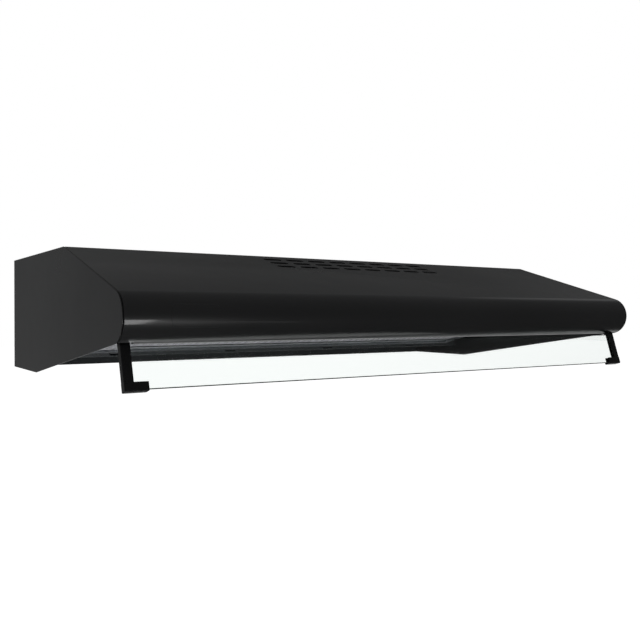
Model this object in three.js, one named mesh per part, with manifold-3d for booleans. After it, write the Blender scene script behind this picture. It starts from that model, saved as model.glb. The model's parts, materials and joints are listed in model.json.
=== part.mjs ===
// Under cabinet range hood with a sloped front, a rolled nose and a swing-down glass visor.
// Millimetres, +Z up, +X to the right for a person facing the hood, +Y towards the wall.
// Inside the "hood" group, y is 0 at the wall and negative towards the room, and z is the height
// above the lower edge of the side panels. The group is lowered by half the height, so the
// exported origin is the centre of the rear face.

import * as THREE from 'three';
import { mergeVertices } from 'three/addons/utils/BufferGeometryUtils.js';
import Module from 'manifold-3d';

const wasm = await Module();
wasm.setup();

// ---------------------------------------------------------------- driving dimensions

const WIDTH = 762;
const HEIGHT = 153;
const TOP_DEPTH = 268.5;
const SHEET = 1;
const GAP = 0.3;
const HALF = WIDTH / 2;
// How far a cutting shape stands past the sheet that it cuts.
const THROUGH = 5;

// Nose: a rolled edge that runs smoothly out of the sloped front.
const NOSE = { y: -446, z: 73, radius: 26.2, endAngle: 272, hemAngle: 250 };

// Rear end of the side panels' level lower edge.
const REAR_LEVEL = 133.5;
const HEM = 10;

// Air slots in the slope.
const SLOT = { rows: 3, perRow: 8, length: 26.5, height: 9 };
const SLOT_PLACE = { pitchX: 34.6, pitchUp: 19, fromTop: 20, centreX: 4.2 };

// Visor: hangs from two pivots behind the nose and leans towards the room.
const VISOR = { y: -446, z: 51.5, lean: 17, armLength: 51.8, armX: 376.4, armWide: 10, armThick: 8, boss: 5 };
const FOOT = { length: 24.4, height: 9.4, thick: 9, lift: 2.2 };
const GLASS = { top: 7.5, thick: 4, groove: 3 };
const CLAMP = { inFromArm: 15, up: 6, radius: 1.5 };
const PIN = { radius: 2, headRadius: 3.4, headLong: 2.5 };
const PLATE = { thick: 2, front: -455, rear: -422, low: 49, high: 66 };
const NOTCH = { margin: 3.2, front: -455, rear: -430, low: 40, high: 60 };

// Grease filter: one wide panel that rises towards the room from a hinge line near the wall.
const FILTER = { y: -110.5, z: 20, tilt: 15.6, length: 266, rear: 3, thick: 9, lift: 0.4, half: 355 };
const BORDER = { width: 10, rear: 5, wall: 0.8 };
const TABS = [-268, -90, 90, 268];
const TAB = { half: 8, reach: 4.5, low: 1.6, high: 11.5 };
const LATCH = { x: 178, travel: 5, half: 24, noseHalf: 6, nose: 6, long: 28, thick: 2.4, stem: 4 };
const CATCH = { half: 12, room: 6.8, deep: 14.5, low: 87.5, high: 100.5 };

// Housing for lamps and switches behind the nose.
const HOUSING = { half: 356, front: -441.5, rear: -384, low: 57, high: 102, ledge: -350 };
const HOUSING_WALL = { front: 12, end: 32 };
const LAMP = { x: 200, y: -411, z: 80, window: 100, windowDeep: 44 };
const SPEED = { x: 283, y: -411, travel: 18 };
const LIGHT = { x: 325, y: -411, travel: 6 };
const KNOB = { half: 5, deep: 3.5, stem: 2.5, stemDeep: 1.6, stands: 3.8 };
const SWITCH = { margin: 8, low: 3.3, high: 17 };

// Floor panel in front of the wall.
const FLOOR = { front: -109.7, z: 16, lip: 32, rearLip: 12 };

// Blower: vertical axis, scroll casing under the roof, mouth towards the room.
const BLOWER = { x: 0, y: -90, low: 66, high: 149.4, wall: 1.5, inlet: 45 };
const SCROLL = { start: 66, end: 90, tongue: 50, mouth: 84 };
const WHEEL = { radius: 58, inner: 46, low: 74, high: 112, blades: 30 };
const MOTOR = { radius: 44, low: 119, high: 149 };
const CHARCOAL = { radius: 70, low: 47, high: 61 };
const TOP_PLATE = { left: -104, right: 112, front: -175.5, rear: -16.5, thick: 1.6, lip: 9 };
const OUTLET = { x: 0, y: -208, radius: 55, rim: 5 };
const SCREW = { hole: 2.6, head: 4.5, shank: 2.2, places: [[-96, -77], [104, -77], [-96, 66], [104, 66]] };
const DUCT = { half: 152, front: -336, rear: -176, lowFront: 99, lowRear: 72 };

// Electrics against the wall, left of the blower.
const BOX = { left: -260, right: -160, front: -80, rear: -18, low: 112, high: 151, wall: 2 };
const ENTRY = { x: -210, z: 130, radius: 8.4 };
const CAPACITOR = { x: 150, y: -40, z: 128, radius: 14, long: 48 };
const LEAD = { radius: 2.5, y: -50, z: 136 };
const KEYHOLE = { x: 290, z: 105, radius: 6, slot: 3, rise: 16 };
const BADGE = { x: -306.5, width: 51, height: 23, corner: 3, up: 1, from: 150, to: 206, thick: 0.8 };

const SIDES = { left: -1, right: 1 };
const rad = THREE.MathUtils.degToRad;

// ---------------------------------------------------------------- materials

function finish(color, roughness, metalness) {
  return new THREE.MeshStandardMaterial({ color, roughness, metalness });
}

const BLACK_PAINT = finish(0x1c1d1e, 0.38, 0.0);
const DARK_STEEL = finish(0x303336, 0.5, 0.6);
const ZINC = finish(0xa8abad, 0.42, 0.9);
const ALUMINIUM = finish(0xb9bec2, 0.35, 0.95);
const BLACK_PLASTIC = finish(0x0e0e0f, 0.45, 0.0);
const GREY_PLASTIC = finish(0x6b6e70, 0.6, 0.0);
const WHITE_PLASTIC = finish(0xe6e4dc, 0.5, 0.0);
const CLEAR_GLASS = finish(0xe8f2ee, 0.05, 0.0);
const FROSTED = finish(0xeceae4, 0.5, 0.0);
const CARBON = finish(0x222222, 0.9, 0.0);
const RUBBER = finish(0x151515, 0.8, 0.0);
const MOTOR_STEEL = finish(0x7d8083, 0.45, 0.7);

// ---------------------------------------------------------------- solids

// A closed shape with shared vertices, no collapsed triangles and its faces pointing out.
function closed(geometry) {
  const bare = geometry.clone();
  bare.deleteAttribute('normal');
  bare.deleteAttribute('uv');
  const merged = mergeVertices(bare, 1e-4);
  const kept = [];
  const index = merged.index.array;
  for (let i = 0; i < index.length; i += 3) {
    const [a, b, c] = [index[i], index[i + 1], index[i + 2]];
    if (a !== b && b !== c && a !== c) kept.push(a, b, c);
  }
  if (volumeOf(merged.attributes.position.array, kept) < 0) kept.reverse();
  merged.setIndex(kept);
  return merged;
}

function volumeOf(position, index) {
  const point = (i) => new THREE.Vector3().fromArray(position, index[i] * 3);
  let volume = 0;
  for (let i = 0; i < index.length; i += 3) {
    volume += point(i).dot(point(i + 1).cross(point(i + 2))) / 6;
  }
  return volume;
}

function solidOf(geometry) {
  const shape = closed(geometry);
  const vertProperties = new Float32Array(shape.attributes.position.array);
  const triVerts = new Uint32Array(shape.index.array);
  return new wasm.Manifold(new wasm.Mesh({ numProp: 3, vertProperties, triVerts }));
}

function geometryOf(solid) {
  const mesh = solid.getMesh();
  const geometry = new THREE.BufferGeometry();
  geometry.setAttribute('position', new THREE.BufferAttribute(new Float32Array(mesh.vertProperties), 3));
  geometry.setIndex(Array.from(mesh.triVerts));
  geometry.computeVertexNormals();
  return geometry;
}

function join(...shapes) {
  return geometryOf(shapes.map(solidOf).reduce((whole, next) => whole.add(next)));
}

function cut(shape, ...tools) {
  return geometryOf(tools.map(solidOf).reduce((whole, tool) => whole.subtract(tool), solidOf(shape)));
}

function common(shape, other) {
  return geometryOf(solidOf(shape).intersect(solidOf(other)));
}

// A box between two corners, whichever way round each pair is given.
function block([x0, x1], [y0, y1], [z0, z1]) {
  const geometry = new THREE.BoxGeometry(Math.abs(x1 - x0), Math.abs(y1 - y0), Math.abs(z1 - z0));
  return geometry.translate((x0 + x1) / 2, (y0 + y1) / 2, (z0 + z1) / 2);
}

function outlineOf(points) {
  return new THREE.Shape(points.map(([u, v]) => new THREE.Vector2(u, v)));
}

// An outline in (y, z) swept along X between two places.
function sweepX(points, [x0, x1]) {
  const depth = Math.abs(x1 - x0);
  const geometry = new THREE.ExtrudeGeometry(outlineOf(points), { depth, bevelEnabled: false });
  const turn = new THREE.Matrix4().makeBasis(
    new THREE.Vector3(0, 1, 0),
    new THREE.Vector3(0, 0, 1),
    new THREE.Vector3(1, 0, 0),
  );
  return geometry.applyMatrix4(turn).translate(Math.min(x0, x1), 0, 0);
}

// An outline in (x, y) raised between two heights.
function raise(shape, [z0, z1], curveSegments = 6) {
  const depth = Math.abs(z1 - z0);
  const geometry = new THREE.ExtrudeGeometry(shape, { depth, bevelEnabled: false, curveSegments });
  return geometry.translate(0, 0, Math.min(z0, z1));
}

function upright(radius, [z0, z1], x = 0, y = 0, sides = 24) {
  const geometry = new THREE.CylinderGeometry(radius, radius, Math.abs(z1 - z0), sides);
  return geometry.rotateX(Math.PI / 2).translate(x, y, (z0 + z1) / 2);
}

function sideways(radius, [x0, x1], y = 0, z = 0, sides = 16) {
  const geometry = new THREE.CylinderGeometry(radius, radius, Math.abs(x1 - x0), sides);
  return geometry.rotateZ(Math.PI / 2).translate((x0 + x1) / 2, y, z);
}

// A turned shape about +Z from (radius, height) pairs.
function turned(profile, sides = 32) {
  const points = profile.map(([r, h]) => new THREE.Vector2(r, h));
  return new THREE.LatheGeometry(points, sides).rotateX(Math.PI / 2);
}

function roundedOblong(width, height, radius) {
  const shape = new THREE.Shape();
  const [w, h] = [width / 2 - radius, height / 2 - radius];
  shape.absarc(w, h, radius, 0, Math.PI / 2, false);
  shape.absarc(-w, h, radius, Math.PI / 2, Math.PI, false);
  shape.absarc(-w, -h, radius, Math.PI, Math.PI * 1.5, false);
  shape.absarc(w, -h, radius, Math.PI * 1.5, Math.PI * 2, false);
  return shape;
}

// A round lead along a smooth route.
function lead(route, radius, steps) {
  const curve = new THREE.CatmullRomCurve3(route.map((p) => new THREE.Vector3(...p)));
  const section = new THREE.Shape();
  section.absarc(0, 0, radius, 0, Math.PI * 2, false);
  const options = { steps, extrudePath: curve, curveSegments: 4, bevelEnabled: false };
  return new THREE.ExtrudeGeometry(section, options);
}

function piece(parent, name, geometry, material) {
  const mesh = new THREE.Mesh(closed(geometry), material);
  mesh.name = name;
  parent.add(mesh);
  return mesh;
}

// ---------------------------------------------------------------- outline of the body

const breakPoint = { y: -TOP_DEPTH, z: HEIGHT };
const toBreak = { y: breakPoint.y - NOSE.y, z: breakPoint.z - NOSE.z };
const breakReach = Math.hypot(toBreak.y, toBreak.z);
const slopeAngle = Math.atan2(toBreak.z, toBreak.y) - Math.asin(NOSE.radius / breakReach);

const toLevel = { y: -REAR_LEVEL - NOSE.y, z: -NOSE.z };
const levelReach = Math.hypot(toLevel.y, toLevel.z);
const edgeAngle = Math.atan2(toLevel.z, toLevel.y) + Math.asin(NOSE.radius / levelReach);

// Points of the nose roll between two angles in degrees, 0 towards the wall and 90 up.
function nosePoints(from, to, radius, steps) {
  const points = [];
  for (let i = 0; i <= steps; i += 1) {
    const angle = rad(from + ((to - from) * i) / steps);
    points.push([NOSE.y + radius * Math.cos(angle), NOSE.z + radius * Math.sin(angle)]);
  }
  return points;
}

const noseStart = 90 + THREE.MathUtils.radToDeg(slopeAngle);
const noseEdge = 270 + THREE.MathUtils.radToDeg(edgeAngle);

function sideOutline() {
  return [
    [0, HEIGHT],
    [breakPoint.y, breakPoint.z],
    ...nosePoints(noseStart, noseEdge, NOSE.radius, 14),
    [-REAR_LEVEL, 0],
    [0, 0],
  ];
}

// ---------------------------------------------------------------- outer sheet metal

function canopyOutline() {
  const corner = Math.tan(slopeAngle / 2) * SHEET;
  const outer = nosePoints(noseStart, NOSE.endAngle, NOSE.radius, 12);
  const hem = nosePoints(NOSE.endAngle, NOSE.hemAngle, NOSE.radius - 2 * SHEET, 2);
  const inner = nosePoints(NOSE.hemAngle, noseStart, NOSE.radius - SHEET, 9);
  return [
    [0, HEIGHT],
    [breakPoint.y, HEIGHT],
    ...outer,
    ...hem,
    ...inner,
    [breakPoint.y + corner, HEIGHT - SHEET],
    [0, HEIGHT - SHEET],
  ];
}

function airSlots() {
  const slots = [];
  const outline = roundedOblong(SLOT.length, SLOT.height, SLOT.height / 2 - 0.01);
  for (let row = 0; row < SLOT.rows; row += 1) {
    for (let i = 0; i < SLOT.perRow; i += 1) {
      const down = SLOT_PLACE.fromTop + row * SLOT_PLACE.pitchUp;
      const x = SLOT_PLACE.centreX + (i - (SLOT.perRow - 1) / 2) * SLOT_PLACE.pitchX;
      const slot = raise(outline, [-3, 3], 2).rotateX(slopeAngle);
      const y = breakPoint.y - down * Math.cos(slopeAngle);
      const z = breakPoint.z - down * Math.sin(slopeAngle);
      slots.push(slot.translate(x, y, z));
    }
  }
  return slots;
}

function canopyShell() {
  const reach = HALF - SHEET - GAP;
  const sheet = sweepX(canopyOutline(), [-reach, reach]);
  const notches = Object.values(SIDES).map((side) =>
    block(
      [side * (VISOR.armX - VISOR.armWide - NOTCH.margin), side * HALF],
      [NOTCH.front, NOTCH.rear],
      [NOTCH.low, NOTCH.high],
    ),
  );
  const through = [HEIGHT - THROUGH, HEIGHT + THROUGH];
  const outlet = upright(OUTLET.radius, through, OUTLET.x, OUTLET.y, 40);
  const screwHoles = blowerScrewPlaces().map(([x, y]) => upright(SCREW.hole, through, x, y, 12));
  return cut(sheet, ...airSlots(), ...notches, outlet, ...screwHoles);
}

function sidePanel(side) {
  const plate = sweepX(sideOutline(), [side * HALF, side * (HALF - SHEET)]);
  const start = { y: NOSE.y + 6, z: NOSE.z - NOSE.radius + SHEET };
  const rear = -SHEET - 2 * GAP;
  const hemOutline = [
    [start.y, start.z],
    [-REAR_LEVEL, 0],
    [rear, 0],
    [rear, HEM],
    [-REAR_LEVEL, HEM],
    [start.y, start.z + HEM],
  ];
  const hem = sweepX(hemOutline, [side * (HALF - SHEET / 2), side * (HALF - 2 * SHEET)]);
  return join(plate, common(hem, sweepX(sideOutline(), [side * HALF, side * (HALF - 3 * SHEET)])));
}

function keyhole(x) {
  const { z, radius, slot, rise } = KEYHOLE;
  const head = new THREE.CylinderGeometry(radius, radius, 2 * THROUGH, 20).translate(x, 0, z);
  return join(head, block([x - slot, x + slot], [-THROUGH, THROUGH], [z, z + rise]));
}

function rearPanel() {
  const reach = HALF - 2 * SHEET - GAP;
  const top = HEIGHT - SHEET - GAP;
  const plate = block([-reach, reach], [-SHEET, 0], [0, top]);
  const flange = block([-reach, reach], [-14, 0], [top - SHEET, top]);
  const entry = new THREE.CylinderGeometry(ENTRY.radius, ENTRY.radius, 2 * THROUGH, 24);
  entry.translate(ENTRY.x, 0, ENTRY.z);
  return cut(join(plate, flange), keyhole(-KEYHOLE.x), keyhole(KEYHOLE.x), entry);
}

function floorPanel() {
  const reach = HALF - 2 * SHEET - GAP;
  const rear = -SHEET - GAP;
  const sheet = block([-reach, reach], [FLOOR.front, rear], [FLOOR.z, FLOOR.z + SHEET]);
  const frontLip = block([-reach, reach], [FLOOR.front, FLOOR.front + SHEET], [FLOOR.z, FLOOR.lip]);
  const rearLip = block([-reach, reach], [rear - SHEET, rear], [FLOOR.z, FLOOR.z + FLOOR.rearLip]);
  const slots = TABS.map((x) =>
    block(
      [x - TAB.half - 1, x + TAB.half + 1],
      [FLOOR.front - THROUGH, FLOOR.front + THROUGH],
      [FLOOR.z + TAB.low, FLOOR.z + TAB.high],
    ),
  );
  return cut(join(sheet, frontLip, rearLip), ...slots);
}

function outletBlank() {
  const { x, y, radius, rim } = OUTLET;
  const underRoof = HEIGHT - SHEET - GAP;
  const plug = upright(radius - GAP, [HEIGHT - SHEET, HEIGHT - 0.1], x, y, 40);
  const neck = upright(radius - 3, [underRoof - 0.7, HEIGHT - 0.5], x, y, 40);
  const flange = upright(radius + rim, [underRoof - 2, underRoof], x, y, 40);
  return join(flange, neck, plug);
}

// A blank name plate that follows the roll of the nose.
function blankBadge() {
  const { x, width, height, corner, up, from, to, thick } = BADGE;
  const outer = nosePoints(from, to, NOSE.radius + GAP + thick, 8);
  const inner = nosePoints(to, from, NOSE.radius + GAP, 8);
  const strip = sweepX([...outer, ...inner], [x - width / 2 - 1, x + width / 2 + 1]);
  const mask = raise(roundedOblong(width, height, corner), [-20, 20], 3).rotateX(Math.PI / 2);
  return common(strip, mask.translate(x, NOSE.y - 20, NOSE.z + up));
}

// ---------------------------------------------------------------- housing, lamps and switches

function frontHousing() {
  const { half, front, rear, low, high, ledge } = HOUSING;
  const bottom = block([-half, half], [front, rear], [low, low + SHEET]);
  const frontWall = block([-half, half], [front, front + SHEET], [low, low + HOUSING_WALL.front]);
  const rearWall = block([-half, half], [rear - SHEET, rear], [low, high]);
  const ledgeSheet = block([-half, half], [rear - SHEET, ledge], [high - SHEET, high]);
  const ends = Object.values(SIDES).map((side) =>
    block([side * half, side * (half - SHEET)], [front, rear], [low, low + HOUSING_WALL.end]),
  );
  const windows = Object.values(SIDES).map((side) => {
    const [x, w, d] = [side * LAMP.x, LAMP.window / 2, LAMP.windowDeep / 2];
    return block([x - w, x + w], [LAMP.y - d, LAMP.y + d], [low - THROUGH, low + THROUGH]);
  });
  const slits = [SPEED, LIGHT].map(({ x, y, travel }) =>
    block(
      [x - KNOB.stem - 1, x + travel + KNOB.stem + 1],
      [y - KNOB.stemDeep - 0.9, y + KNOB.stemDeep + 0.9],
      [low - THROUGH, low + THROUGH],
    ),
  );
  return cut(join(bottom, frontWall, rearWall, ledgeSheet, ...ends), ...windows, ...slits);
}

function lampLens(side) {
  const [x, w, d] = [side * LAMP.x, LAMP.window / 2 - GAP, LAMP.windowDeep / 2 - GAP];
  const low = HOUSING.low;
  const face = block([x - w, x + w], [LAMP.y - d, LAMP.y + d], [low - 0.6, low + 2.4]);
  const rim = block([x - w - 3, x + w + 3], [LAMP.y - d - 3, LAMP.y + d + 3], [low + SHEET + GAP, low + 2.8]);
  return join(face, rim);
}

function lampBulb(side) {
  const profile = [[0, 0], [7, 0], [7, 14], [8.5, 18], [12, 30], [13, 42], [11, 54], [6, 62], [0, 65]];
  const bulb = turned(profile, 20).rotateY(-side * Math.PI / 2);
  return bulb.translate(side * (LAMP.x + 28), LAMP.y, LAMP.z);
}

function lampHolder(side) {
  const body = sideways(11, [side * (LAMP.x + 15), side * (LAMP.x + 45)], LAMP.y, LAMP.z, 20);
  const socket = sideways(7.5, [side * (LAMP.x + 10), side * (LAMP.x + 28.4)], LAMP.y, LAMP.z, 20);
  const foot = block(
    [side * (LAMP.x + 32), side * (LAMP.x + 44)],
    [LAMP.y - 9, LAMP.y + 9],
    [HOUSING.low + SHEET + 2.1, LAMP.z],
  );
  return cut(join(body, foot), socket);
}

function sliderKnob({ x, y }) {
  const low = HOUSING.low;
  const { half, deep, stem, stemDeep, stands } = KNOB;
  const pad = block([x - half, x + half], [y - deep, y + deep], [low - stands, low - GAP]);
  const post = block([x - stem, x + stem], [y - stemDeep, y + stemDeep], [low - 1, low + SWITCH.low - GAP]);
  return join(pad, post);
}

function switchBody({ x, y, travel }) {
  const { margin, low, high } = SWITCH;
  const heights = [HOUSING.low + low, HOUSING.low + high];
  return block([x - margin, x + travel + margin], [y - margin, y + margin], heights);
}

// ---------------------------------------------------------------- grease filter

// Everything here is drawn in the filter's own plane: y runs down it towards the wall from its
// hinge line, and z is the height above its underside.
function filterFrame() {
  const { half, length, rear, lift, thick } = FILTER;
  const [low, high] = [lift, lift + thick];
  const full = block([-half, half], [-length, -rear], [low, high]);
  const { width, rear: rearWidth, wall } = BORDER;
  const opening = block(
    [-half + width, half - width],
    [-length + width, -rear - rearWidth],
    [low - THROUGH, high + THROUGH],
  );
  const groove = block([-half + 1, half - 1], [-length + 1, -rear - 1], [low + wall, high - wall]);
  const slitHalf = LATCH.stem + 2 * GAP;
  const latchSlits = Object.values(SIDES).map((side) =>
    block(
      [side * LATCH.x - slitHalf, side * LATCH.x + slitHalf],
      [-length + 2.6, -length + 9 + LATCH.travel],
      [low - 2, low + 2],
    ),
  );
  const tabs = TABS.map((x) =>
    block([x - TAB.half, x + TAB.half], [-rear - 0.5, TAB.reach], [low, low + SHEET]),
  );
  return join(cut(full, opening, groove, ...latchSlits), ...tabs);
}

function filterMesh() {
  const inset = 2;
  const middle = FILTER.lift + FILTER.thick / 2;
  return block(
    [-FILTER.half + inset, FILTER.half - inset],
    [-FILTER.length + inset, -FILTER.rear - inset],
    [middle - 0.6, middle + 0.6],
  );
}

function filterLatch(side) {
  const x = side * LATCH.x;
  const front = -FILTER.length;
  const [low, high] = [FILTER.lift - GAP - LATCH.thick, FILTER.lift - GAP];
  const plate = block([x - LATCH.half, x + LATCH.half], [front, front + LATCH.long], [low, high]);
  const nose = block([x - LATCH.noseHalf, x + LATCH.noseHalf], [front - LATCH.nose, front + 2], [low, high]);
  const end = front + LATCH.long;
  const pull = block([x - LATCH.half, x + LATCH.half], [end - 4, end], [low - 3, high]);
  const stem = block([x - LATCH.stem, x + LATCH.stem], [front + 3.2, front + 7], [low, FILTER.lift + 2.6]);
  return join(plate, nose, pull, stem);
}

// A fork on the housing that grips the latch's nose from both sides and is open downwards.
function filterCatch(side) {
  const x = side * LATCH.x;
  const { half, room, deep, low, high } = CATCH;
  const [front, rear] = [HOUSING.rear + GAP, HOUSING.rear + deep];
  const back = block([x - half, x + half], [front, front + 2], [low, high]);
  const cheeks = [-1, 1].map((way) => block([x + way * room, x + way * half], [front, rear], [low, high]));
  return join(back, ...cheeks);
}

// A sheet that covers the gap beside the filter.
function sideRail(side) {
  const top = FILTER.lift + FILTER.thick + GAP;
  const across = [side * (FILTER.half - BORDER.width + 1), side * (HALF - 2 * SHEET - GAP)];
  return block(across, [-FILTER.length + 4, -TAB.reach], [top, top + SHEET]);
}

// ---------------------------------------------------------------- visor

function visorArm(side) {
  const outer = VISOR.armX;
  const inner = outer - VISOR.armWide;
  const half = VISOR.armThick / 2;
  const boss = sideways(VISOR.boss, [side * inner, side * outer], 0, 0, 24);
  const bar = block([side * inner, side * outer], [-half, half], [-VISOR.armLength, 0]);
  const foot = block(
    [side * outer, side * (outer - FOOT.length)],
    [-FOOT.thick / 2, FOOT.thick / 2],
    [-VISOR.armLength, -VISOR.armLength + FOOT.height],
  );
  const groove = block(
    [side * (inner + GLASS.groove), side * (outer - FOOT.length - THROUGH)],
    [-GLASS.thick / 2 - GAP, GLASS.thick / 2 + GAP],
    [-VISOR.armLength + FOOT.lift - GAP, -GLASS.top + GAP],
  );
  const bore = sideways(PIN.radius + GAP, [side * (inner - 3), side * (outer + 3)], 0, 0, 16);
  const hole = new THREE.CylinderGeometry(CLAMP.radius + GAP, CLAMP.radius + GAP, FOOT.thick / 2, 12);
  hole.translate(side * (outer - CLAMP.inFromArm), FOOT.thick / 2, -VISOR.armLength + CLAMP.up);
  return cut(join(boss, bar, foot), groove, bore, hole);
}

function visorGlass() {
  const half = VISOR.armX - VISOR.armWide + GLASS.groove - GAP;
  const low = -VISOR.armLength + FOOT.lift;
  return block([-half, half], [-GLASS.thick / 2, GLASS.thick / 2], [low, -GLASS.top]);
}

function clampScrew(side) {
  const [front, rear] = [GLASS.thick / 2 + GAP, FOOT.thick / 2 - 0.2];
  const screw = new THREE.CylinderGeometry(CLAMP.radius, CLAMP.radius, rear - front, 12);
  const x = side * (VISOR.armX - CLAMP.inFromArm);
  return screw.translate(x, (front + rear) / 2, -VISOR.armLength + CLAMP.up);
}

function pivotPin(side) {
  const inner = VISOR.armX - VISOR.armWide - GAP;
  const outer = VISOR.armX + GAP + PLATE.thick;
  const shank = sideways(PIN.radius, [side * (inner - 1), side * outer], VISOR.y, VISOR.z, 12);
  const head = sideways(PIN.headRadius, [side * (inner - PIN.headLong), side * inner], VISOR.y, VISOR.z, 16);
  return join(shank, head);
}

function hingePlate(side) {
  const inner = VISOR.armX + GAP;
  const across = [side * inner, side * (inner + PLATE.thick)];
  const plate = block(across, [PLATE.front, PLATE.rear], [PLATE.low, PLATE.high]);
  const bore = sideways(PIN.radius + GAP, [side * (inner - 2), side * (inner + 4)], VISOR.y, VISOR.z, 16);
  return cut(plate, bore);
}

// ---------------------------------------------------------------- blower

// The spiral wall, drawn clockwise from the tongue, with its mouth towards the room.
function scrollShape(inset) {
  const points = [];
  const steps = 28;
  const sweep = 360 - SCROLL.tongue;
  for (let i = 0; i <= steps; i += 1) {
    const angle = rad(-SCROLL.tongue - (sweep * i) / steps);
    const radius = SCROLL.start + ((SCROLL.end - SCROLL.start) * i) / steps - inset;
    points.push([radius * Math.cos(angle), radius * Math.sin(angle)]);
  }
  const mouthInner = SCROLL.start * Math.cos(rad(SCROLL.tongue)) + inset;
  const mouthEnd = -SCROLL.mouth - (inset > 0 ? 6 : 0);
  points.push([SCROLL.end - inset, mouthEnd]);
  points.push([mouthInner, mouthEnd]);
  if (inset > 0) points.push([mouthInner, -SCROLL.start * Math.sin(rad(SCROLL.tongue))]);
  return outlineOf(points);
}

function blowerScroll() {
  const { x, y, low, high, wall, inlet } = BLOWER;
  const outside = raise(scrollShape(0), [low, high]).translate(x, y, 0);
  const inside = raise(scrollShape(wall), [low + wall, high + 5]).translate(x, y, 0);
  const eye = upright(inlet, [low - 3, low + 5], x, y, 36);
  const leadHole = sideways(6, [x - 100, x - 50], y, LEAD.z, 16);
  return cut(outside, inside, eye, leadHole);
}

function blowerScrewPlaces() {
  return SCREW.places.map(([x, y]) => [BLOWER.x + x, BLOWER.y + y]);
}

function blowerTopPlate() {
  const top = HEIGHT - SHEET - GAP;
  const { left, right, front, rear, thick, lip } = TOP_PLATE;
  const plate = block([left, right], [front, rear], [top - thick, top]);
  const lips = [left, right - thick].map((x) => block([x, x + thick], [front, rear], [top - lip, top]));
  const through = [top - lip, top + THROUGH];
  const holes = blowerScrewPlaces().map(([x, y]) => upright(SCREW.hole, through, x, y, 12));
  const outletRoom = upright(OUTLET.radius + OUTLET.rim + 0.5, [HEIGHT - 12, HEIGHT], OUTLET.x, OUTLET.y, 40);
  return cut(join(plate, ...lips), ...holes, outletRoom);
}

function blowerScrew([x, y]) {
  const top = HEIGHT - SHEET - GAP;
  const under = top - TOP_PLATE.thick - GAP;
  const head = upright(SCREW.head, [under - 3, under], x, y, 12);
  const shank = upright(SCREW.shank, [under - 1, HEIGHT - 0.2], x, y, 10);
  return join(head, shank);
}

function motorBody() {
  const { radius, low, high } = MOTOR;
  const profile = [[0, low], [14, low], [15, low + 2], [radius - 3, low + 4], [radius, low + 8]];
  profile.push([radius, high - 0.2], [0, high - 0.2]);
  const body = turned(profile, 36).translate(BLOWER.x, BLOWER.y, 0);
  return cut(body, upright(4.4, [low - 4, low + 18], BLOWER.x, BLOWER.y, 16));
}

function motorShaft() {
  return upright(4, [WHEEL.high - 22, MOTOR.low + 17], BLOWER.x, BLOWER.y, 16);
}

function impeller() {
  const { radius, inner, low, high, blades } = WHEEL;
  const back = upright(radius, [high - 2, high], 0, 0, 40);
  const hub = upright(11, [high - 16, high + 3], 0, 0, 20);
  const ring = cut(upright(radius, [low, low + 3], 0, 0, 40), upright(inner, [low - 3, low + 6], 0, 0, 40));
  const vanes = [];
  for (let i = 0; i < blades; i += 1) {
    const vane = block([inner + 0.5, radius - 0.5], [-0.6, 0.6], [low + 1, high - 1]);
    vane.translate(-radius, 0, 0).rotateZ(rad(32)).translate(radius, 0, 0);
    vanes.push(vane.rotateZ((Math.PI * 2 * i) / blades));
  }
  const bore = upright(4 + GAP, [high - 20, high + 6], 0, 0, 16);
  return cut(join(back, hub, ring, ...vanes), bore).translate(BLOWER.x, BLOWER.y, 0);
}

function inletGuard() {
  const { x, y, low, inlet } = BLOWER;
  const [inner, outer, foot, head] = [inlet - 4, inlet + 7, low - 4.4, low - GAP];
  const ring = turned([[inner, foot], [outer, foot], [outer, head], [inner, head], [inner, foot]], 36);
  const bars = [0, 60, 120].map((turn) => {
    const bar = block([-inlet, inlet], [-1.2, 1.2], [foot + 0.2, foot + 2.9]);
    return bar.rotateZ(rad(turn));
  });
  return join(ring, ...bars).translate(x, y, 0);
}

function charcoalFilter() {
  const { radius, low, high } = CHARCOAL;
  const profile = [[0, low], [radius - 3, low], [radius, low + 3], [radius, high], [0, high]];
  const disc = turned(profile, 40);
  const grip = block([-18, 18], [-3, 3], [low - 6, low + 1]);
  return join(disc, grip).translate(BLOWER.x, BLOWER.y, 0);
}

function airDuct() {
  const { half, front, rear, lowFront, lowRear } = DUCT;
  const underRoof = HEIGHT - SHEET - 4;
  const roofAt = (y) => underRoof + Math.min(0, (y - breakPoint.y) * Math.tan(slopeAngle));
  const outside = [
    [front, lowFront],
    [rear, lowRear],
    [rear, underRoof],
    [breakPoint.y, underRoof],
    [front, roofAt(front)],
  ];
  const inside = [
    [front - 5, lowFront + SHEET + 0.8],
    [rear - SHEET, lowRear + SHEET + 0.2],
    [rear - SHEET, HEIGHT],
    [front - 5, HEIGHT],
  ];
  const mouth = block(
    [BLOWER.x + SCROLL.start * Math.cos(rad(SCROLL.tongue)) + 1, BLOWER.x + SCROLL.end - 1],
    [rear - 5, rear + 5],
    [lowRear + 4, HEIGHT - 12],
  );
  return cut(sweepX(outside, [-half, half]), sweepX(inside, [-half + SHEET, half - SHEET]), mouth);
}

// ---------------------------------------------------------------- electrics

function terminalBox() {
  const { left, right, front, rear, low, high } = BOX;
  const outside = block([left, right], [front, rear], [low, high]);
  const wall = BOX.wall;
  const inside = block([left + wall, right - wall], [front + wall, rear - wall], [low - 2, high - wall]);
  const leadHoles = [right, left].map((x) => sideways(3.4, [x - THROUGH, x + THROUGH], LEAD.y, LEAD.z, 12));
  const entry = new THREE.CylinderGeometry(ENTRY.radius, ENTRY.radius, 12, 20);
  entry.translate(ENTRY.x, rear, ENTRY.z);
  return cut(outside, inside, ...leadHoles, entry);
}

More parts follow.
